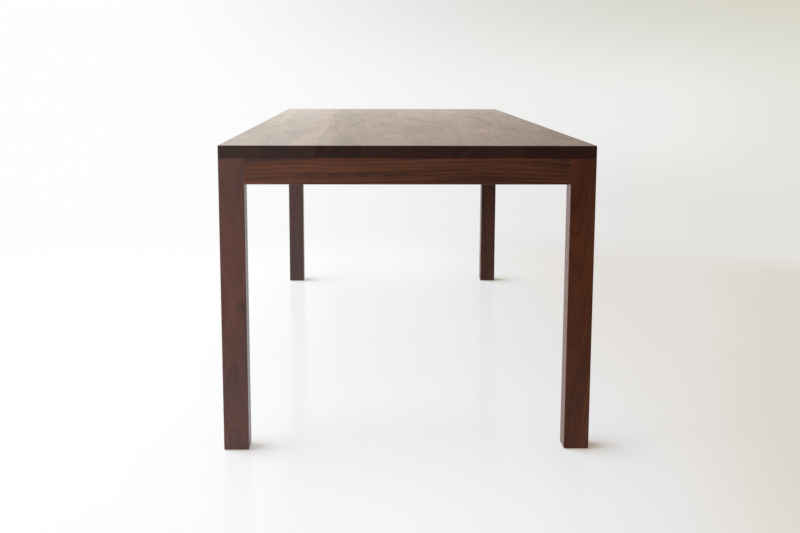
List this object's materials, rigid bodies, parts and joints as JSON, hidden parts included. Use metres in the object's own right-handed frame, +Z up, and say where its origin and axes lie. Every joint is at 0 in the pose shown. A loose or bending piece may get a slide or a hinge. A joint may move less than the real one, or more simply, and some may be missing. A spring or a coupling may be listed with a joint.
{
  "type": "dining table",
  "caption": "Long rectangular dining table in the parsons style: square legs flush with the corners and sides of a solid wood top, and aprons level with the legs' outer faces.",
  "frame": {"origin": "on the floor, below the middle of the table top", "axes": "+Z up, +Y along the length of the table, +X across its width; the front is the -Y end and the left is the -X side"},
  "size_m": [0.9144, 2.4384, 0.762],
  "materials": {
    "walnut": "satin oil",
    "beech": "compressed, raw",
    "zinc_plated_steel": "bright zinc",
    "nylon": "moulded"
  },
  "bodies": {
    "root": {"top_board_1": "walnut", "top_board_2": "walnut", "top_board_3": "walnut", "top_board_4": "walnut", "top_board_5": "walnut", "top_board_6": "walnut", "top_board_7": "walnut", "top_board_8": "walnut", "top_board_9": "walnut", "leg_front_left": "walnut", "leg_front_right": "walnut", "leg_back_left": "walnut", "leg_back_right": "walnut", "end_apron_front": "walnut", "end_apron_back": "walnut", "side_apron_left": "walnut", "side_apron_right": "walnut", "cross_rail_front": "walnut", "cross_rail_middle": "walnut", "cross_rail_back": "walnut", "corner_block_front_left": "walnut", "corner_block_front_right": "walnut", "corner_block_back_left": "walnut", "corner_block_back_right": "walnut", "buttons_front": "walnut", "buttons_back": "walnut", "buttons_left": "walnut", "buttons_right": "walnut", "top_biscuits": "beech", "corner_screws_front_left": "zinc_plated_steel", "corner_screws_front_right": "zinc_plated_steel", "corner_screws_back_left": "zinc_plated_steel", "corner_screws_back_right": "zinc_plated_steel", "button_screws_front": "zinc_plated_steel", "button_screws_back": "zinc_plated_steel", "button_screws_left": "zinc_plated_steel", "button_screws_right": "zinc_plated_steel", "cross_rail_screws": "zinc_plated_steel", "cross_rail_washers": "zinc_plated_steel", "foot_glide_nails": "zinc_plated_steel", "foot_glide_front_left": "nylon", "foot_glide_front_right": "nylon", "foot_glide_back_left": "nylon", "foot_glide_back_right": "nylon"}
  },
  "joints": []
}
